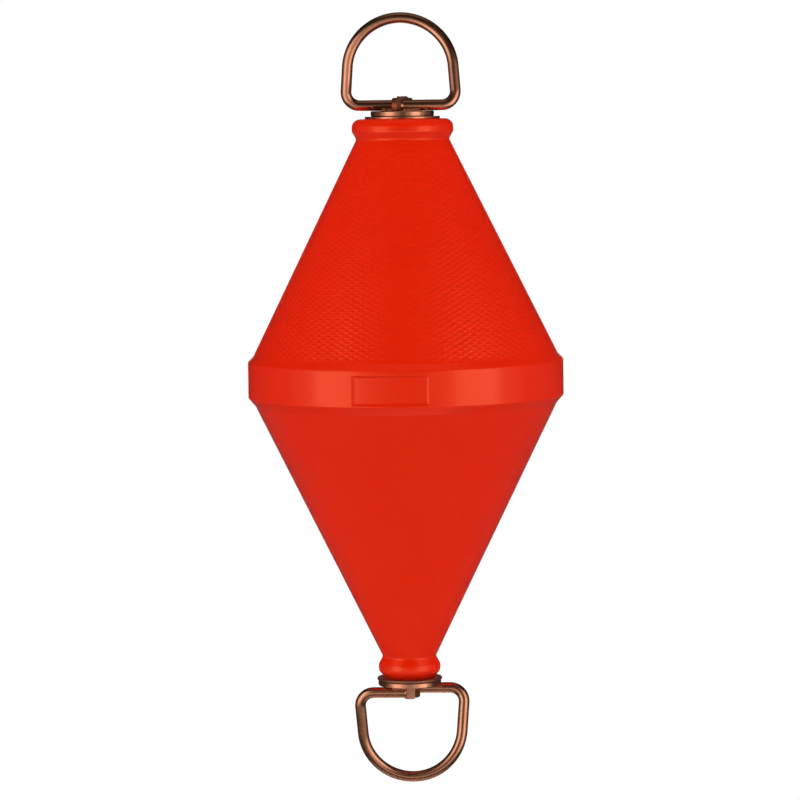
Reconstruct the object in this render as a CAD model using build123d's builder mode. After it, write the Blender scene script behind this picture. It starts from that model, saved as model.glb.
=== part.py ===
# Biconical mooring buoy: a moulded float on a through rod, with a swivel ring at each end.
# Millimetres. The origin is on the rod's axis at the middle of the float's band, +Z is up.
import os
from math import cos, radians, sin, sqrt, tan

from build123d import *

# Float, from the band outwards
band_d = 320.0
band_h = 50.4
band_upper_step = 6.0
band_lower_step = 7.1
band_upper_bevel_h = 6.2
band_lower_bevel_h = 8.3
band_edge_r = 3.5
band_root_r = 1.0
wall = 4.5

# Upper neck
top_z = 263.4
top_neck_d = 102.4
top_neck_h = 12.6
top_neck_edge_r = 8.7
top_waist_d = 93.6
top_waist_z = 242.8
neck_root_r = 3.2

# Lower neck
foot_z = -305.0
foot_neck_d = 62.4
foot_face_d = 50.0
foot_neck_h = 13.8
foot_neck_edge_r = 7.5
foot_neck_shoulder_r = 5.0
foot_waist_d = 53.8
foot_waist_z = -283.2

# Rod and nuts
rod_d = 12.0
rod_proud = 1.5
rod_end_chamfer = 1.0
sleeve_gap = 0.5
nut_across_flats = 18.0
nut_h = 13.0
nut_chamfer = 0.9
thread_gap = 0.1
ring_play = 0.3

# Washers and ring plates
washer_t = 2.3
washer_hole_gap = 0.5
top_washer_d = 76.0
foot_washer_d = 66.0
plate_d = 64.0
plate_t = 5.5
plate_edge = 0.8
swivel_gap = 0.3

# Rings, each bent from one round bar whose two ends pass each side of the nut
bar_d = 11.0
top_ring_h = 99.3
top_ring_w = 121.4
foot_ring_h = 100.4
foot_ring_w = 115.4
leg_flare_deg = 4.0
leg_corner_r = 14.0
bar_swing_gap = 0.6
bar_lift = 0.2
foot_ring_turn = -4.0
weld_w = 10.6
weld_h = 3.4
weld_start = 1.5
weld_end = 20.0
weld_taper = 1.2

# How far each ring was welded off its plate's middle, and its bar ends stop short of its own
top_ring_shift = -1.6
top_bar_short = 0.0
foot_ring_shift = 2.4
foot_bar_short = 4.5

# Worked out from the sizes above
band_r = band_d / 2
band_top = band_h / 2
upper_cone_r = band_r - band_upper_step
lower_cone_r = band_r - band_lower_step
rod_r = rod_d / 2
sleeve_r = rod_r + sleeve_gap
nut_corner_r = nut_across_flats / 2 / cos(radians(30))
bar_r = bar_d / 2
bar_offset = nut_corner_r + bar_swing_gap + bar_r
stack_h = washer_t + plate_t + ring_play

# Each end's parts stand on a plane at the float's face, with its normal pointing outwards
top_seat = Plane(origin=(0, 0, top_z), x_dir=(1, 0, 0), z_dir=(0, 0, 1))
foot_seat = Plane(origin=(0, 0, foot_z), x_dir=(1, 0, 0), z_dir=(0, 0, -1))


def washer(seat, diameter):
    """The thin wear washer that lies on the float's end face."""
    with BuildPart() as part:
        with BuildSketch(seat):
            Circle(diameter / 2)
            Circle(rod_r + washer_hole_gap, mode=Mode.SUBTRACT)
        extrude(amount=washer_t)
        rims = part.edges().filter_by(GeomType.CIRCLE).group_by(SortBy.RADIUS)[-1]
        chamfer(rims, length=washer_t / 6)
    return part.part


def ring_plate(seat, height):
    """The thick disc that the ring is welded to. It turns on the rod."""
    with BuildPart() as part:
        with BuildSketch(seat.offset(height)):
            Circle(plate_d / 2)
            Circle(rod_r + swivel_gap, mode=Mode.SUBTRACT)
        extrude(amount=plate_t)
        rims = part.edges().filter_by(GeomType.CIRCLE).group_by(SortBy.RADIUS)[-1]
        chamfer(rims, length=plate_edge)
    return part.part


def nut(seat, height):
    """The hexagon nut on the rod's end, with its corners chamfered on both sides."""
    with BuildPart() as part:
        with BuildSketch(seat.offset(height)):
            Circle(nut_corner_r)
        extrude(amount=nut_h)
        chamfer(part.edges().filter_by(GeomType.CIRCLE), length=nut_chamfer, length2=nut_chamfer * 2)
        with BuildSketch(seat.offset(height)):
            RegularPolygon(nut_corner_r, 6)
        extrude(amount=nut_h, mode=Mode.INTERSECT)
        with BuildSketch(seat.offset(height)):
            Circle(rod_r + thread_gap)
        extrude(amount=nut_h, mode=Mode.SUBTRACT)
    return part.part


def bent_ring(seat, height, ring_h, ring_w, turn, shift, bar_short):
    """The D-shaped ring: two halves, each leaning from its own side of the nut up to the top."""
    centre = seat.offset(height).rotated((0, 0, turn)).location * Location((shift, 0, 0))
    rise = ring_h - bar_d - bar_lift
    slant = sqrt(rise**2 + bar_offset**2)
    flare = radians(leg_flare_deg)
    knee_x = ring_w / 2 - bar_r
    # The arc's radius lets the flared leg reach the knee where the corner's bend begins
    arc_r = (knee_x - (slant - leg_corner_r) * tan(flare)) * cos(flare) / (1 - sin(flare))
    arc_v = slant - arc_r
    leg_x = arc_r * cos(flare)
    leg_v = arc_v + arc_r * sin(flare)
    with BuildPart() as part:
        for side in (1, -1):
            lean = Plane(
                origin=(0, -side * bar_offset, bar_lift + bar_r),
                x_dir=(side, 0, 0),
                z_dir=(0, -side * rise, bar_offset),
            )
            half = Plane(centre * lean.location)
            with BuildLine(half) as path:
                CenterArc((0, arc_v), arc_r, 90, leg_flare_deg - 90)
                FilletPolyline(
                    (leg_x, leg_v),
                    (leg_x + leg_v * tan(flare), 0),
                    (bar_short, 0),
                    radius=leg_corner_r,
                )
            with BuildSketch(Plane(origin=path.line @ 0, z_dir=path.line % 0)):
                Circle(bar_r)
            sweep(path=path.line)
            weld = Plane(
                origin=(side * (bar_short + weld_start), -side * bar_offset, 0),
                x_dir=(0, 1, 0),
                z_dir=(side, 0, 0),
            )
            with BuildSketch(Plane(centre * weld.location)):
                with BuildLine():
                    Polyline(
                        (-weld_w / 2, 0),
                        (weld_w / 2, 0),
                        (weld_w / 2 - weld_taper, side * weld_h),
                        (weld_taper - weld_w / 2, side * weld_h),
                        close=True,
                    )
                make_face()
            extrude(amount=weld_end - bar_short - weld_start)
    return part.part


# The float: one hollow moulding with a tube through it for the rod
outline = [
    (sleeve_r, top_z),
    (top_neck_d / 2, top_z),
    (top_neck_d / 2, top_z - top_neck_h),
    (top_waist_d / 2, top_waist_z),
    (upper_cone_r, band_top),
    (band_r, band_top - band_upper_bevel_h),
    (band_r, band_lower_bevel_h - band_top),
    (lower_cone_r, -band_top),
    (foot_waist_d / 2, foot_waist_z),
    (foot_neck_d / 2, foot_z + foot_neck_h),
    (foot_neck_d / 2, foot_z + foot_neck_h / 2),
    (foot_face_d / 2, foot_z),
    (sleeve_r, foot_z),
]
with BuildPart() as moulding:
    with BuildSketch(Plane.XZ):
        with BuildLine():
            FilletPolyline(
                *outline,
                radius=[
                    0,
                    top_neck_edge_r,
                    neck_root_r,
                    neck_root_r,
                    band_root_r,
                    band_edge_r,
                    band_edge_r,
                    band_root_r,
                    neck_root_r,
                    foot_neck_shoulder_r,
                    foot_neck_edge_r,
                    0,
                    0,
                ],
                close=True,
            )
        make_face()
    revolve(axis=Axis.Z)
    # The hollow follows the cones and the band, one wall inside them and outside the tube
    with BuildSketch(Plane.XZ):
        with BuildLine():
            Polyline(
                (sleeve_r, top_waist_z),
                *outline[3:9],
                (sleeve_r, foot_waist_z),
                close=True,
            )
        make_face()
        offset(amount=-wall, kind=Kind.INTERSECTION)
    revolve(axis=Axis.Z, mode=Mode.SUBTRACT)

# The rod, from just past one nut to just past the other
rod_bottom = foot_z - stack_h - nut_h - rod_proud
rod_top = top_z + stack_h + nut_h + rod_proud
with BuildPart() as rod:
    with BuildSketch(Plane.XY.offset(rod_bottom)):
        Circle(rod_r)
    extrude(amount=rod_top - rod_bottom)
    chamfer(rod.edges().filter_by(GeomType.CIRCLE), length=rod_end_chamfer)

# At the top the ring plate lies on its washer, and at the foot it hangs on its nut
parts = {
    "float": moulding.part,
    "tie_rod": rod.part,
    "top_washer": washer(top_seat, top_washer_d),
    "top_ring_plate": ring_plate(top_seat, washer_t),
    "top_ring": bent_ring(
        top_seat,
        washer_t + plate_t,
        top_ring_h,
        top_ring_w,
        0,
        top_ring_shift,
        top_bar_short,
    ),
    "top_nut": nut(top_seat, stack_h),
    "bottom_washer": washer(foot_seat, foot_washer_d),
    "bottom_ring_plate": ring_plate(foot_seat, washer_t + ring_play),
    "bottom_ring": bent_ring(
        foot_seat,
        stack_h,
        foot_ring_h,
        foot_ring_w,
        -foot_ring_turn,
        foot_ring_shift,
        foot_bar_short,
    ),
    "bottom_nut": nut(foot_seat, stack_h),
}

os.makedirs("parts", exist_ok=True)
for name, solid in parts.items():
    solid.label = name
    export_step(solid, f"parts/{name}.step")
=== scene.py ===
# Looks of a biconical mooring buoy: a red moulded float on a through rod, with a copper-toned
# swivel ring at each end. Metres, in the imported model's own frame.
from math import atan2, cos, pi, radians, sin, sqrt, tan

import bmesh
import bpy
from mathutils import Matrix, Vector


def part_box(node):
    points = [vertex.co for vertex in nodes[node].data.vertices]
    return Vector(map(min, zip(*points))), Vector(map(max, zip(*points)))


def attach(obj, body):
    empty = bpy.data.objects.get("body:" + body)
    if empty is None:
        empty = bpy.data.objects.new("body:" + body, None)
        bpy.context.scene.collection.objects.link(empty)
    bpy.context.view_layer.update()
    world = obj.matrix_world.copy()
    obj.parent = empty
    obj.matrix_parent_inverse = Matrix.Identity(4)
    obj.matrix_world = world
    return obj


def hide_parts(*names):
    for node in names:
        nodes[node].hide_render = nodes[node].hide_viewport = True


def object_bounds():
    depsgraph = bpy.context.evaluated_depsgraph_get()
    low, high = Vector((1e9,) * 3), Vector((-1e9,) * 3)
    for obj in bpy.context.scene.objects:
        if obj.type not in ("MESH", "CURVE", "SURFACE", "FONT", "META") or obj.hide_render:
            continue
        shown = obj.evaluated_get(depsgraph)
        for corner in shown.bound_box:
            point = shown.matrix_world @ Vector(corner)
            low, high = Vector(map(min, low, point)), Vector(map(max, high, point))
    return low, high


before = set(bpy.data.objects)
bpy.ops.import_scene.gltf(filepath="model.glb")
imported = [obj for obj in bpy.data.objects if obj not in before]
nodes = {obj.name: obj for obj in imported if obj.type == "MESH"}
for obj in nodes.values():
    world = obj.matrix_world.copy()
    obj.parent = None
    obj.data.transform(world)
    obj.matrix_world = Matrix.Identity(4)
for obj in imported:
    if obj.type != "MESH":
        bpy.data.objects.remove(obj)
cad_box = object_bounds()
MM = 0.001

# Float sizes that the frame gives
float_low, float_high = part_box("float")
band_r = float_high.x
top_z = float_high.z
foot_z = float_low.z

# Float sizes repeated from the part
band_top = 25.2 * MM
upper_cone_r = band_r - 6.0 * MM
lower_cone_r = band_r - 7.1 * MM
band_face_top = 19.0 * MM
band_face_foot = -16.9 * MM
band_edge_r = 3.5 * MM
band_root_r = 1.0 * MM
top_neck_r = 51.2 * MM
top_neck_h = 12.6 * MM
top_neck_edge_r = 8.7 * MM
top_waist_r = 46.8 * MM
top_waist_z = 242.8 * MM
neck_root_r = 3.2 * MM
foot_neck_r = 31.2 * MM
foot_face_r = 25.0 * MM
foot_neck_h = 13.8 * MM
foot_neck_edge_r = 7.5 * MM
foot_neck_shoulder_r = 5.0 * MM
foot_waist_r = 26.9 * MM
foot_waist_z = -283.2 * MM
sleeve_r = 6.5 * MM

# Two small edges that the part has otherwise: above the band, where the diamonds end close by, and
# at the foot of the bore
band_upper_root_r = 0.3 * MM
sleeve_foot_edge_r = 0.5 * MM

# Diamond pattern on the upper cone. Peaks and valleys lie either side of the part's own cone.
diamond_pitch = 10.8 * MM
diamond_row = 2.74 * MM
diamond_relief = 0.42 * MM
diamond_peak = 0.55 * diamond_relief
diamond_valley = -0.45 * diamond_relief
diamond_top = top_waist_z - 4.6 * MM
diamond_gap_band = 0.6 * MM
diamond_foot = band_top + diamond_gap_band
plain_start = band_top + diamond_gap_band * 0.8

# Lattice columns on each side of a half's middle, enough for the widest row
diamond_reach = int(upper_cone_r * pi / diamond_pitch) + 1

# Mould parting ridge, at the two sides
ridge_angle = radians(0.35)
ridge_margin = radians(0.9)
ridge_h = 0.2 * MM

# Bare recess on the band, with sloping walls
recess_left = radians(-19.1)
recess_right = radians(7.7)
recess_top = 13.2 * MM
recess_foot = -14.6 * MM
recess_depth = 1.5 * MM
recess_wall = 2.4 * MM

# Places across a wall of the recess where the mesh gets points
wall_offsets = [recess_wall * share for share in (-0.75, -0.5, -0.35, 0.35, 0.5, 0.75)]

# Ring sizes repeated from the part
bar_r = 5.5 * MM
bar_lift = 0.2 * MM
leg_flare = radians(4.0)
leg_corner_r = 14.0 * MM
bar_offset = 16.4923 * MM
weld_start = 1.5 * MM
weld_end = 20.0 * MM
upper_ring = {
    "ring_h": 99.3 * MM,
    "ring_w": 121.4 * MM,
    "turn": 0.0,
    "shift": -1.6 * MM,
    "bar_short": 0.0,
}
lower_ring = {
    "ring_h": 100.4 * MM,
    "ring_w": 115.4 * MM,
    "turn": radians(4.0),
    "shift": 2.4 * MM,
    "bar_short": 4.5 * MM,
}

# Rod radius repeated from the part, and the threads at its ends
rod_r = 6.0 * MM
thread_pitch = 1.75 * MM
thread_depth = 0.95 * MM
thread_length = 26.0 * MM


# Mesh helpers


class Skin:
    """A mesh that is collected point by point, with shared points merged."""

    def __init__(self):
        self.points = []
        self.faces = []
        self.smooth = []
        self.index = {}

    def point(self, x, y, z):
        key = (round(x, 7), round(y, 7), round(z, 7))
        if key not in self.index:
            self.index[key] = len(self.points)
            self.points.append((x, y, z))
        return self.index[key]

    def face(self, corners, smooth=True):
        kept = []
        for corner in corners:
            if corner not in kept:
                kept.append(corner)
        if len(kept) > 2:
            self.faces.append(kept)
            self.smooth.append(smooth)

    def piece(self, name):
        mesh = bpy.data.meshes.new(name)
        mesh.from_pydata(self.points, [], self.faces)
        mesh.polygons.foreach_set("use_smooth", self.smooth)
        mesh.validate()
        mesh.update()
        obj = bpy.data.objects.new(name, mesh)
        bpy.context.scene.collection.objects.link(obj)
        return obj


def rounded(points, radii, steps):
    """The open line through these points with its inner corners rounded."""
    line = [Vector(points[0])]
    for before, corner, after, radius in zip(points, points[1:], points[2:], radii[1:]):
        corner = Vector(corner)
        if radius == 0:
            line.append(corner)
            continue
        back = (Vector(before) - corner).normalized()
        ahead = (Vector(after) - corner).normalized()
        half = back.angle(ahead) / 2
        reach = radius / tan(half)
        centre = corner + (back + ahead).normalized() * radius / sin(half)
        start = corner + back * reach - centre
        turn = start.angle_signed(corner + ahead * reach - centre)
        for step in range(steps + 1):
            angle = -turn * step / steps
            line.append(centre + Matrix.Rotation(angle, 2) @ start)
    line.append(Vector(points[-1]))
    return line


def spread(low, high, step):
    """Values from low to high, evenly spaced by about step."""
    count = max(1, round(abs(high - low) / step))
    return [low + (high - low) * i / count for i in range(count + 1)]


def cut_at(line, heights):
    """The same line with a point added wherever it crosses one of these heights."""
    points = [line[0]]
    for first, second in zip(line, line[1:]):
        between = [h for h in heights if second.y < h < first.y]
        for height in sorted(between, reverse=True):
            points.append(first.lerp(second, (first.y - height) / (first.y - second.y)))
        points.append(second)
    return points


def on_float(r, azimuth, z):
    """A point at this azimuth from the front of the float."""
    return (r * sin(azimuth), -r * cos(azimuth), z)


# The float


def smooth_columns():
    """Azimuths of the plain rows, with extra ones at the ridges and across the recess's walls."""
    extra = []
    for side in (-pi / 2, pi / 2):
        extra += [side - ridge_angle, side, side + ridge_angle]
    for edge in (recess_left, recess_right):
        extra += [edge + offset / band_r for offset in wall_offsets]
    plain_count = 256
    plain = [-pi + 2 * pi * i / plain_count for i in range(plain_count)]
    near = radians(0.5)
    kept = [a for a in plain if all(abs(a - e) > near for e in extra)]
    return sorted(kept + extra)


def shaped_radius(r, azimuth, z):
    """The float's radius with the parting ridge and the recess."""
    if abs(abs(azimuth) - pi / 2) < ridge_angle / 2:
        return min(r + ridge_h, band_r)
    if r < upper_cone_r:
        return r
    across = min(azimuth - recess_left, recess_right - azimuth) * band_r
    inwards = min(across, z - recess_foot, recess_top - z)
    return r - recess_depth * max(0, min(1, inwards / recess_wall + 0.5))


def plain_row(skin, r, z, columns):
    return [skin.point(*on_float(shaped_radius(r, a, z), a, z)) for a in columns]


def cone_radius_above(z):
    """The upper cone's radius at this height, from the part's outline."""
    share = (top_waist_z - z) / (top_waist_z - band_top)
    return top_waist_r + (upper_cone_r - top_waist_r) * share


def diamond_rows(skin):
    """Rows of the moulded diamonds: a raised point at every second corner of the lattice."""
    count = round((diamond_top - diamond_foot) / diamond_row)
    limit = pi / 2 - ridge_margin
    rows = []
    for row in range(count + 1):
        z = diamond_top + (diamond_foot - diamond_top) * row / count
        r = cone_radius_above(z)
        edge_row = row in (0, count)
        ring = []
        for middle in (0, pi):
            for column in range(-diamond_reach, diamond_reach + 1):
                azimuth = column * diamond_pitch / 2 / r
                lift = 0
                if abs(azimuth) < limit and not edge_row:
                    lift = diamond_peak if (column + row) % 2 == 0 else diamond_valley
                ring.append((middle + max(-limit, min(limit, azimuth)), r + lift))
            for offset, lift in ((-ridge_angle, 0), (0, ridge_h), (ridge_angle, 0)):
                ring.append((middle + pi / 2 + offset, r + lift))
        rows.append([skin.point(*on_float(radius, azimuth, z)) for azimuth, radius in ring])
    return rows


def join_diamond_rows(skin, upper, lower, row):
    """Joins two rows, each cell split between its two valleys so that the points stay sharp."""
    size = len(upper)
    for i in range(size):
        j = (i + 1) % size
        a, b, c, d = upper[i], upper[j], lower[j], lower[i]
        column = i % (size // 2) - diamond_reach
        if (column + row) % 2 == 0:
            skin.face((a, b, d), False)
            skin.face((b, c, d), False)
        else:
            skin.face((a, b, c), False)
            skin.face((a, c, d), False)


def join_plain_rows(skin, upper, lower):
    size = len(upper)
    for i in range(size):
        j = (i + 1) % size
        skin.face((upper[i], upper[j], lower[j], lower[i]))


def join_uneven_rows(skin, upper, lower):
    """Joins two closed rows that have different numbers of points, in order of azimuth."""

    def azimuth(index):
        x, y, _ = skin.points[index]
        return atan2(x, -y)

    a = sorted(set(upper), key=azimuth)
    b = sorted(set(lower), key=azimuth)
    i = j = 0
    while i < len(a) or j < len(b):
        next_a = azimuth(a[i + 1]) if i + 1 < len(a) else azimuth(a[0]) + 2 * pi
        next_b = azimuth(b[j + 1]) if j + 1 < len(b) else azimuth(b[0]) + 2 * pi
        if j >= len(b) or (i < len(a) and next_a <= next_b):
            skin.face((a[i % len(a)], a[(i + 1) % len(a)], b[j % len(b)]))
            i += 1
        else:
            skin.face((a[i % len(a)], b[(j + 1) % len(b)], b[j % len(b)]))
            j += 1


def neck_outline():
    """From the bore over the upper neck's bead to the first row of diamonds."""
    return rounded(
        [
            (sleeve_r, top_z),
            (top_neck_r, top_z),
            (top_neck_r, top_z - top_neck_h),
            (top_waist_r, top_waist_z),
            (cone_radius_above(diamond_top), diamond_top),
        ],
        [0, top_neck_edge_r, neck_root_r, neck_root_r],
        steps=8,
    )


def lower_outline():
    """From the last row of diamonds over the band, the lower cone and the lower neck to the bore."""
    return rounded(
        [
            (cone_radius_above(plain_start), plain_start),
            (upper_cone_r, band_top),
            (band_r, band_face_top),
            (band_r, band_face_foot),
            (lower_cone_r, -band_top),
            (foot_waist_r, foot_waist_z),
            (foot_neck_r, foot_z + foot_neck_h),
            (foot_neck_r, foot_z + foot_neck_h / 2),
            (foot_face_r, foot_z),
            (sleeve_r, foot_z),
        ],
        [
            0,
            band_upper_root_r,
            band_edge_r,
            band_edge_r,
            band_root_r,
            neck_root_r,
            foot_neck_shoulder_r,
            foot_neck_edge_r,
            sleeve_foot_edge_r,
        ],
        steps=7,
    )


def make_float():
    """The whole moulding as one closed skin, from the bore's top edge round to itself."""
    skin = Skin()
    columns = smooth_columns()
    row_gap = 9 * MM
    bore_row_gap = 60 * MM

    upper = [plain_row(skin, r, z, columns) for r, z in neck_outline()[:-1]]
    for first, second in zip(upper, upper[1:]):
        join_plain_rows(skin, first, second)

    diamonds = diamond_rows(skin)
    join_uneven_rows(skin, upper[-1], diamonds[0])
    for row, (first, second) in enumerate(zip(diamonds, diamonds[1:])):
        join_diamond_rows(skin, first, second, row)

    walls = [edge + offset for edge in (recess_top, recess_foot) for offset in wall_offsets]
    stations = cut_at(lower_outline(), walls + spread(foot_waist_z, band_face_top, row_gap))
    rows = [plain_row(skin, r, z, columns) for r, z in stations]
    join_uneven_rows(skin, diamonds[-1], rows[0])
    for z in spread(foot_z, top_z, bore_row_gap)[1:-1]:
        rows.append(plain_row(skin, sleeve_r, z, columns))
    rows.append(upper[0])
    for first, second in zip(rows, rows[1:]):
        join_plain_rows(skin, first, second)
    return skin.piece("float_moulding")


# Rings


def ring_path(ring_h, ring_w, bar_short):
    """The bar's centre line from one end to the other, on the ring plate's face."""
    base_step = 0.1
    leg_step = 0.2
    arc_step = radians(2.5)
    rise = ring_h - 2 * bar_r - bar_lift
    slant = sqrt(rise**2 + bar_offset**2)
    knee_x = ring_w / 2 - bar_r
    arc_r = (knee_x - (slant - leg_corner_r) * tan(leg_flare)) * cos(leg_flare) / (1 - sin(leg_flare))
    arc_v = slant - arc_r
    leg_top = Vector((arc_r * cos(leg_flare), arc_v + arc_r * sin(leg_flare)))
    leg_foot = (leg_top.x + leg_top.y * tan(leg_flare), 0)
    bend = rounded([(bar_short, 0), leg_foot, leg_top], [0, leg_corner_r], steps=14)
    base = [bend[0].lerp(bend[1], share) for share in spread(0, 1, base_step)[1:-1]]
    leg = [bend[-2].lerp(bend[-1], share) for share in spread(0, 1, leg_step)[1:-1]]
    arc = []
    for angle in spread(leg_flare, pi / 2, arc_step)[1:]:
        arc.append(Vector((arc_r * cos(angle), arc_v + arc_r * sin(angle))))
    half = [bend[0], *base, *bend[1:-1], *leg, bend[-1], *arc]

    def lifted(p, side):
        share = p.y / slant
        return Vector((side * p.x, side * bar_offset * (share - 1), bar_lift + bar_r + rise * share))

    return [lifted(p, 1) for p in half] + [lifted(p, -1) for p in reversed(half[:-1])]


def swept_bar(name, path, radius):
    """A round bar along a path, with chamfered ends and a UV map that runs along it."""
    around = 36
    end_inset = 0.7 * MM
    end_radius = radius * 0.84
    end_uv = (0.5, 0.5)
    tangents = []
    for i, p in enumerate(path):
        before = path[max(i - 1, 0)]
        after = path[min(i + 1, len(path) - 1)]
        tangents.append((after - before).normalized())
    sections = [
        (path[0], end_radius, 0),
        (path[0] + tangents[0] * end_inset, radius, 0),
        *[(p, radius, i) for i, p in enumerate(path[1:-1], 1)],
        (path[-1] - tangents[-1] * end_inset, radius, len(path) - 1),
        (path[-1], end_radius, len(path) - 1),
    ]
    normal = tangents[0].orthogonal().normalized()
    previous = tangents[0]
    points = []
    lengths = []
    travelled = 0.0
    last = path[0]
    for centre, r, i in sections:
        normal = previous.rotation_difference(tangents[i]) @ normal
        previous = tangents[i]
        side = tangents[i].cross(normal)
        travelled += (centre - last).length
        last = centre
        lengths.append(travelled)
        for k in range(around):
            angle = 2 * pi * k / around
            points.append(centre + (normal * cos(angle) + side * sin(angle)) * r)
    faces = []
    uvs = []
    for s in range(len(sections) - 1):
        for k in range(around):
            n = (k + 1) % around
            faces.append((s * around + k, s * around + n, (s + 1) * around + n, (s + 1) * around + k))
            u, v = lengths[s], lengths[s + 1]
            uvs.append([(u, k / around), (u, (k + 1) / around), (v, (k + 1) / around), (v, k / around)])
    last_row = (len(sections) - 1) * around
    for row, turn in ((0, -1), (last_row, 1)):
        faces.append([row + k for k in range(around)][::turn])
        uvs.append([end_uv] * around)
    mesh = bpy.data.meshes.new(name)
    mesh.from_pydata(points, [], faces)
    mesh.polygons.foreach_set("use_smooth", [True] * (len(faces) - 2) + [False] * 2)
    layer = mesh.uv_layers.new(name="along")
    flat = [uv for face in uvs for uv in face]
    for loop, uv in zip(layer.data, flat):
        loop.uv = uv
    mesh.validate()
    mesh.update()
    obj = bpy.data.objects.new(name, mesh)
    bpy.context.scene.collection.objects.link(obj)
    return obj


def weld_beads(name, bar_short):
    """Four rippled beads in the creases between the bar and the ring plate."""
    steps = 64
    around = 12
    crease = 4.2 * MM
    bead_r = 2.7 * MM
    sunk = 0.25 * MM
    ripple_length = 1.9 * MM
    ripple_low = 0.92
    ripple_rise = 0.16
    wander_reach = 0.25 * MM
    wander_rate = 900
    # A bead swells from nothing to its full size over its length divided by this
    end_rise = 4.5
    skin = Skin()
    start = bar_short + weld_start
    for side in (1, -1):
        for flank in (-1, 1):
            rows = []
            for step in range(steps + 1):
                along = (weld_end - start) * step / steps
                end = min(1.0, end_rise * min(step, steps - step) / steps)
                wave = ripple_low + ripple_rise * abs(sin(pi * along / ripple_length + flank))
                wander = wander_reach * sin(along * wander_rate + 2 * side + flank)
                r = bead_r * sqrt(end) * wave
                x = side * (start + along)
                y = -side * bar_offset + flank * crease + wander
                row = []
                for k in range(around):
                    angle = 2 * pi * k / around
                    z = sunk + max(-sunk, r * sin(angle))
                    row.append(skin.point(x, y + r * cos(angle), z))
                rows.append(row)
            for first, second in zip(rows, rows[1:]):
                join_plain_rows(skin, first, second)
            skin.face(rows[0])
            skin.face(rows[-1])
    return skin.piece(name)


def seat_matrix(z, upside_down, turn, shift):
    """From a ring's own middle on its plate's face, outwards along +Z, to its place on the buoy."""
    place = Matrix.Translation((0, 0, z))
    if upside_down:
        place = place @ Matrix.Rotation(pi, 4, "X")
    return place @ Matrix.Rotation(turn, 4, "Z") @ Matrix.Translation((shift, 0, 0))


def outward(obj):
    """Turns every face of a closed mesh outwards."""
    bm = bmesh.new()
    bm.from_mesh(obj.data)
    bmesh.ops.recalc_face_normals(bm, faces=bm.faces)
    bm.to_mesh(obj.data)
    bm.free()
    obj.data.update()
    return obj


def make_ring(body, node, sizes, face_z, upside_down):
    """A ring's bar and its weld beads, which ride with its plate."""
    place = seat_matrix(face_z, upside_down, sizes["turn"], sizes["shift"])
    path = ring_path(sizes["ring_h"], sizes["ring_w"], sizes["bar_short"])
    bar = swept_bar(f"{body}_bar", path, bar_r)
    welds = weld_beads(f"{body}_welds", sizes["bar_short"])
    for piece in (bar, welds):
        piece.data.transform(place)
        outward(piece)
        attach(piece, body)
    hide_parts(node)
    return bar, welds


# The threaded rod


def make_rod():
    """The rod with its rolled threads at both ends, and their chamfers."""
    low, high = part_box("tie_rod")
    around = 48
    step = thread_pitch / 6
    root_r = rod_r - thread_depth
    chamfer = 1.2 * MM
    # Above 1, the threads' flanks are steeper and their crests flat
    flank_rise = 1.35
    heights = spread(low.z, low.z + thread_length, step)
    heights += spread(high.z - thread_length, high.z, step)
    skin = Skin()
    rows = []
    for z in heights:
        row = []
        from_end = min(z - low.z, high.z - z)
        for k in range(around):
            azimuth = 2 * pi * k / around
            phase = (z / thread_pitch - azimuth / (2 * pi)) % 1.0
            crest = min(1.0, flank_rise * (1 - abs(2 * phase - 1)))
            r = root_r + thread_depth * crest
            limit = rod_r - max(0.0, chamfer - from_end)
            row.append(skin.point(*on_float(min(r, limit), azimuth, z)))
        rows.append(row)
    for first, second in zip(rows, rows[1:]):
        join_plain_rows(skin, first, second)
    skin.face(rows[0], False)
    skin.face(rows[-1], False)
    return outward(skin.piece("threaded_rod"))


# Materials


class Nodes:
    """Short forms for building a node tree."""

    def __init__(self, tree):
        self.tree = tree

    def add(self, kind, **inputs):
        node = self.tree.nodes.new(kind)
        for name, value in inputs.items():
            node.inputs[name.replace("_", " ")].default_value = value
        return node

    def link(self, source, target):
        self.tree.links.new(source, target)

    def feed(self, value, socket):
        """Links an output to this socket, or writes a number on it."""
        if isinstance(value, bpy.types.NodeSocket):
            self.link(value, socket)
        else:
            socket.default_value = value

    def math(self, operation, *values):
        node = self.add("ShaderNodeMath")
        node.operation = operation
        for value, socket in zip(values, node.inputs):
            self.feed(value, socket)
        return node.outputs["Value"]

    def noise(self, where, scale, detail, rough=0.55):
        node = self.add("ShaderNodeTexNoise", Scale=scale, Detail=detail, Roughness=rough)
        self.link(where, node.inputs["Vector"])
        return node.outputs["Fac"]

    def ramp(self, value, stops):
        """Maps a value to a colour between two stops, each a place and a colour."""
        node = self.add("ShaderNodeValToRGB")
        for element, (place, colour) in zip(node.color_ramp.elements, stops):
            element.position = place
            element.color = (*colour, 1)
        self.link(value, node.inputs["Fac"])
        return node.outputs["Color"]

    def bump(self, height, distance, strength, under=None):
        node = self.add("ShaderNodeBump", Strength=strength, Distance=distance)
        self.link(height, node.inputs["Height"])
        if under is not None:
            self.link(under, node.inputs["Normal"])
        return node.outputs["Normal"]

    def range(self, value, from_low, from_high, low=0.0, high=1.0):
        """Maps a value smoothly from one range to the other."""
        node = self.add(
            "ShaderNodeMapRange",
            From_Min=from_low,
            From_Max=from_high,
            To_Min=low,
            To_Max=high,
        )
        node.interpolation_type = "SMOOTHSTEP"
        self.link(value, node.inputs["Value"])
        return node.outputs["Result"]

    def mix(self, share, first, second):
        node = self.add("ShaderNodeMixShader")
        self.feed(share, node.inputs["Fac"])
        self.link(first, node.inputs[1])
        self.link(second, node.inputs[2])
        return node.outputs["Shader"]


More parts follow.
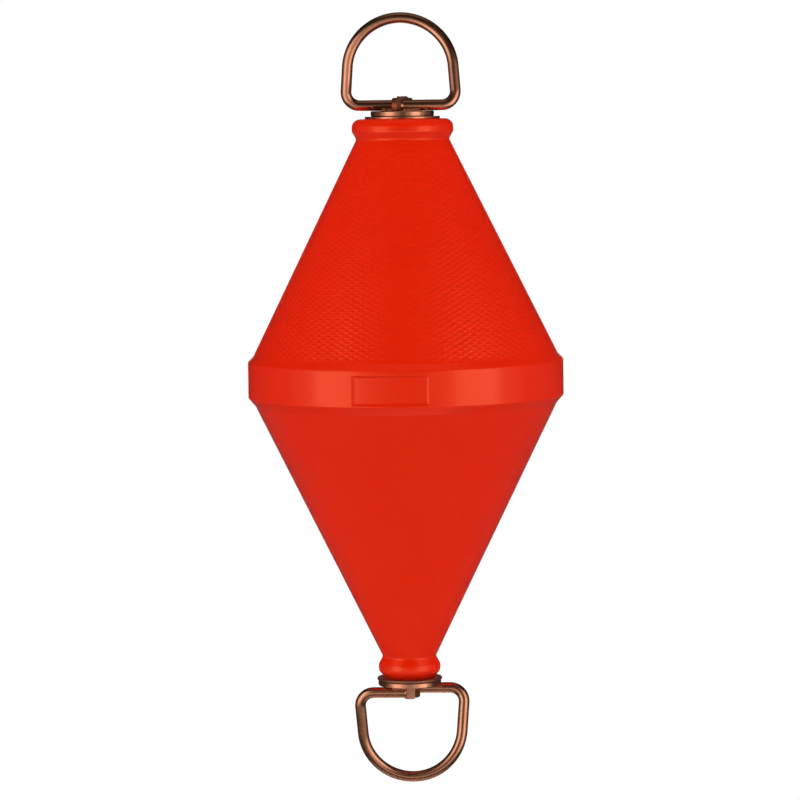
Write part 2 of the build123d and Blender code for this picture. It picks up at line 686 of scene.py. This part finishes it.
def new_material(name):
    material = bpy.data.materials.new(name)
    material.use_nodes = True
    shader = material.node_tree.nodes["Principled BSDF"]
    return material, Nodes(material.node_tree), shader


def grey(level):
    return (level, level, level)


# Noise values between which a tone or a roughness changes
noise_low = 0.3
noise_high = 0.7


def red_plastic():
    """Satin moulded polyethylene with a faint orange-peel skin."""
    darker_red = (0.785, 0.0138, 0.0006)
    lighter_red = (0.815, 0.0158, 0.0009)
    material, n, shader = new_material("red_moulded_plastic")
    where = n.add("ShaderNodeTexCoord").outputs["Object"]
    tone = n.noise(where, scale=9.0, detail=4.0)
    colour = n.ramp(tone, [(noise_low, darker_red), (noise_high, lighter_red)])
    n.link(colour, shader.inputs["Base Color"])
    smear = n.noise(where, scale=38.0, detail=4.0, rough=0.6)
    roughness = n.range(smear, noise_low, noise_high, low=0.18, high=0.23)
    n.link(roughness, shader.inputs["Roughness"])
    shader.inputs["Specular IOR Level"].default_value = 0.95
    shader.inputs["Specular Tint"].default_value = (1.0, 0.43, 0.2, 1)
    peel_height = n.noise(where, scale=420.0, detail=2.0)
    peel = n.bump(peel_height, distance=0.1 * MM, strength=0.3)
    flow_height = n.noise(where, scale=26.0, detail=2.0)
    flow = n.bump(flow_height, distance=0.5 * MM, strength=0.2, under=peel)
    n.link(flow, shader.inputs["Normal"])
    return material


def copper_steel(name, along_bar=False, rough=(0.22, 0.28), shade=1.0):
    """Plated steel with a warm copper tone, faint drawn lines and slight dulling."""
    darker_copper = [part * shade for part in (0.59, 0.245, 0.135)]
    lighter_copper = [part * shade for part in (0.69, 0.296, 0.172)]
    copper_high = 0.72
    material, n, shader = new_material(name)
    coords = n.add("ShaderNodeTexCoord")
    where = coords.outputs["Object"]
    tone = n.noise(where, scale=48.0, detail=5.0, rough=0.6)
    colour = n.ramp(tone, [(noise_low, darker_copper), (copper_high, lighter_copper)])
    n.link(colour, shader.inputs["Base Color"])
    shader.inputs["Metallic"].default_value = 1.0
    spots = n.noise(where, scale=120.0, detail=3.0, rough=0.6)
    n.link(n.range(spots, noise_low, noise_high, *rough), shader.inputs["Roughness"])
    if along_bar:
        stretch = n.add("ShaderNodeMapping", Scale=(14.0, 22.0, 1.0))
        n.link(coords.outputs["UV"], stretch.inputs["Vector"])
        line_height = n.noise(stretch.outputs["Vector"], scale=1.0, detail=1.0, rough=0.5)
    else:
        line_height = n.noise(where, scale=200.0, detail=1.0, rough=0.5)
    lines = n.bump(line_height, distance=0.1 * MM, strength=0.15)
    dent_height = n.noise(where, scale=60.0, detail=2.0)
    dents = n.bump(dent_height, distance=0.25 * MM, strength=0.2, under=lines)
    n.link(dents, shader.inputs["Normal"])
    return material


def dress(obj, material):
    obj.data.materials.clear()
    obj.data.materials.append(material)


# Stage, light and camera


# Cosines of the angle from straight back, between which polish begins to see the white backdrop
backdrop_edge = (0.98, 0.998)

# The floor's depth below the buoy, half its width, and the distances over which it fades into the white
floor_drop = 0.42
floor_half = 9.0
floor_fade = (0.7, 1.6)


def backdrop_rays(n, behind):
    """The share of a ray that sees the white backdrop, which for polish stands only behind the buoy."""
    path = n.add("ShaderNodeLightPath")
    through = n.math("MAXIMUM", path.outputs["Is Camera Ray"], path.outputs["Is Transmission Ray"])
    mirrored = n.math("MULTIPLY", path.outputs["Is Glossy Ray"], behind)
    return n.math("MAXIMUM", through, mirrored)


def pale_floor():
    """A pale matt floor that fades into the white far from the buoy, and that polish sees as a dimmer,
    painted glow instead.
    """
    dim_level = 0.06
    paler_by = 0.5
    dim_fade = (0.15, 0.5)
    paler_edge = (-0.7, -0.93)
    paler_fade = (0.7, 1.2)
    material, n, shader = new_material("pale_floor")
    where = n.add("ShaderNodeTexCoord").outputs["Object"]
    mottled = n.noise(where, scale=3.0, detail=2.0)
    colour = n.ramp(mottled, [(noise_low, grey(0.87)), (noise_high, grey(0.9))])
    n.link(colour, shader.inputs["Base Color"])
    shader.inputs["Roughness"].default_value = 0.9
    place = n.add("ShaderNodeSeparateXYZ")
    n.link(where, place.inputs["Vector"])
    x, y = place.outputs["X"], place.outputs["Y"]
    distance = n.math("SQRT", n.math("ADD", n.math("MULTIPLY", x, x), n.math("MULTIPLY", y, y)))
    fade = n.range(distance, *floor_fade)
    behind = n.range(n.math("DIVIDE", y, distance), *backdrop_edge)
    seen = n.math("MULTIPLY", fade, backdrop_rays(n, behind))
    white = n.add("ShaderNodeEmission", Color=(1, 1, 1, 1), Strength=1.0)
    lit = n.mix(seen, shader.outputs["BSDF"], white.outputs["Emission"])
    # Polish sees a painted reflection: the floor glows dimly, with a paler glowing stretch of it in front
    # of the buoy
    ahead = n.range(n.math("DIVIDE", y, distance), *paler_edge)
    ahead = n.math("MULTIPLY", ahead, n.range(distance, *paler_fade))
    room = n.add("ShaderNodeEmission", Color=(1, 1, 1, 1))
    n.link(n.math("MULTIPLY_ADD", ahead, paler_by, dim_level), room.inputs["Strength"])
    dim = n.range(distance, *dim_fade, low=0.5)
    away = n.math("MULTIPLY", dim, n.math("SUBTRACT", 1.0, behind))
    glossy = n.add("ShaderNodeLightPath").outputs["Is Glossy Ray"]
    surface = n.mix(n.math("MULTIPLY", away, glossy), lit, room.outputs["Emission"])
    n.link(surface, material.node_tree.nodes["Material Output"].inputs["Surface"])
    material.cycles.emission_sampling = "NONE"
    return material


def make_stage():
    """One wide square of floor, well below the hanging buoy."""
    floor_z = cad_box[0].z - floor_drop
    mesh = bpy.data.meshes.new("floor")
    signs = ((-1, -1), (1, -1), (1, 1), (-1, 1))
    corners = [(x * floor_half, y * floor_half, floor_z) for x, y in signs]
    mesh.from_pydata(corners, [], [(0, 1, 2, 3)])
    floor = bpy.data.objects.new("floor", mesh)
    bpy.context.scene.collection.objects.link(floor)
    dress(floor, pale_floor())


def make_world():
    """White to the camera, even light on matt surfaces, and a dim room round the backdrop for polish."""
    even_level = 0.21
    side_level = 0.12
    front_level = 0.04
    ceiling_edge_level = 0.02
    ceiling_level = 0.25
    # Each part of the room comes in between two values of the direction's x, y or z
    side_x = (0.72, 0.96)
    front_y = (-0.2, -0.9)
    low_z = (0.55, 0.1)
    ceiling_z = (0.82, 1.0)
    world = bpy.data.worlds.new("studio")
    bpy.context.scene.world = world
    world.use_nodes = True
    world.cycles.sampling_method = "NONE"
    n = Nodes(world.node_tree)
    even = world.node_tree.nodes["Background"]
    even.inputs["Color"].default_value = (1, 1, 1, 1)
    even.inputs["Strength"].default_value = even_level
    place = n.add("ShaderNodeSeparateXYZ")
    n.link(n.add("ShaderNodeTexCoord").outputs["Generated"], place.inputs["Vector"])
    x, y, z = place.outputs["X"], place.outputs["Y"], place.outputs["Z"]
    side = n.range(n.math("ABSOLUTE", x), *side_x, high=side_level)
    front = n.range(y, *front_y, high=front_level)
    low = n.range(z, *low_z)
    walls = n.math("MULTIPLY", n.math("ADD", side, front), low)
    ceiling = n.range(z, *ceiling_z, low=ceiling_edge_level, high=ceiling_level)
    room = n.add("ShaderNodeBackground", Strength=1.0)
    n.link(n.math("ADD", walls, ceiling), room.inputs["Color"])
    white = n.add("ShaderNodeBackground", Color=(1, 1, 1, 1), Strength=1.0)
    glossy = n.add("ShaderNodeLightPath").outputs["Is Glossy Ray"]
    matt_or_polish = n.mix(glossy, even.outputs["Background"], room.outputs["Background"])
    behind = n.range(y, *backdrop_edge)
    seen = n.mix(backdrop_rays(n, behind), matt_or_polish, white.outputs["Background"])
    n.link(seen, world.node_tree.nodes["World Output"].inputs["Surface"])


def soft_box(name, azimuth, width, tall, radiance):
    """An upright soft box at this azimuth from the front, aimed level at the rod's axis."""
    height = -0.05
    away = 1.1
    light = bpy.data.lights.new(name, "AREA")
    light.shape = "RECTANGLE"
    light.size = width
    light.size_y = tall
    light.energy = radiance * pi * width * tall
    lamp = bpy.data.objects.new(name, light)
    a = radians(azimuth)
    lamp.location = (away * sin(a), -away * cos(a), height)
    lamp.rotation_mode = "QUATERNION"
    lamp.rotation_quaternion = Vector((-sin(a), cos(a), 0)).to_track_quat("-Z", "Y")
    lamp.visible_camera = False
    lamp.visible_diffuse = False
    bpy.context.scene.collection.objects.link(lamp)


def sky_part(name, azimuth, elevation, width, level):
    """A wide soft part of the even light, which matt surfaces get and polish doesn't show."""
    light = bpy.data.lights.new(name, "SUN")
    light.angle = radians(width)
    light.energy = level * pi
    light.cycles.use_multiple_importance_sampling = False
    lamp = bpy.data.objects.new(name, light)
    a, e = radians(azimuth), radians(elevation)
    towards = Vector((sin(a) * cos(e), -cos(a) * cos(e), sin(e)))
    lamp.rotation_mode = "QUATERNION"
    lamp.rotation_quaternion = towards.to_track_quat("Z", "Y")
    lamp.visible_glossy = False
    lamp.visible_camera = False
    bpy.context.scene.collection.objects.link(lamp)


def make_lights():
    """The even light, then the soft boxes that only polish shows."""
    for azimuth in (-50, 50, 130, -130):
        sky_part(f"sky_{azimuth}", azimuth, elevation=12, width=110, level=0.52)
    sky_part("sky_top", azimuth=0, elevation=86, width=30, level=0.06)
    # Each soft box is a bright core with two wider and dimmer layers: width, height and radiance
    layers = {"core": (0.62, 1.2, 1.65), "edge": (1.0, 1.3, 0.5), "skirt": (1.7, 1.6, 0.3)}
    for name, azimuth in (("left", -49), ("right", 50)):
        for layer, sizes in layers.items():
            soft_box(f"{name}_{layer}", azimuth, *sizes)


def make_camera():
    """The photo's view: about level with the upper ring's base, and rolled so the buoy leans a little."""
    picture = 800
    focal_px = 3950.0
    distance = 4.0
    aside = -6.2 * MM
    eye = Vector((aside, -distance, 288 * MM))
    aim = Vector((aside, 0, -21.6 * MM))
    roll = radians(0.767)
    data = bpy.data.cameras.new("camera")
    data.sensor_width = 36.0
    data.lens = focal_px / picture * data.sensor_width
    camera = bpy.data.objects.new("camera", data)
    look = (aim - eye).normalized()
    right = look.cross(Vector((0, 0, 1))).normalized()
    up = right.cross(look)
    tilted_right = right * cos(roll) - up * sin(roll)
    tilted_up = right * sin(roll) + up * cos(roll)
    turn = Matrix((tilted_right, tilted_up, -look)).transposed().to_4x4()
    camera.matrix_world = Matrix.Translation(eye) @ turn
    bpy.context.scene.collection.objects.link(camera)
    bpy.context.scene.camera = camera


# Everything together

make_camera()
make_lights()
make_world()
make_stage()

plastic = red_plastic()
steel = copper_steel("copper_toned_steel")
bar_steel = copper_steel("copper_toned_bar", along_bar=True)
# A darker, rougher copper tone, used on the lower washer
darker_rougher_steel = copper_steel("darker_rougher_copper_steel", rough=(0.44, 0.58), shade=0.57)

moulding = outward(make_float())
dress(moulding, plastic)
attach(moulding, "buoy")
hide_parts("float")

rod = make_rod()
dress(rod, steel)
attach(rod, "buoy")
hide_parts("tie_rod")

upper_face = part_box("top_ring_plate")[1].z
lower_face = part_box("bottom_ring_plate")[0].z
for bar, welds in (
    make_ring("upper_ring", "top_ring", upper_ring, upper_face, False),
    make_ring("lower_ring", "bottom_ring", lower_ring, lower_face, True),
):
    dress(bar, bar_steel)
    dress(welds, steel)

for name in ("top_washer", "top_ring_plate", "top_nut", "bottom_ring_plate", "bottom_nut"):
    dress(nodes[name], steel)
dress(nodes["bottom_washer"], darker_rougher_steel)

bpy.context.scene.view_settings.view_transform = "Standard"
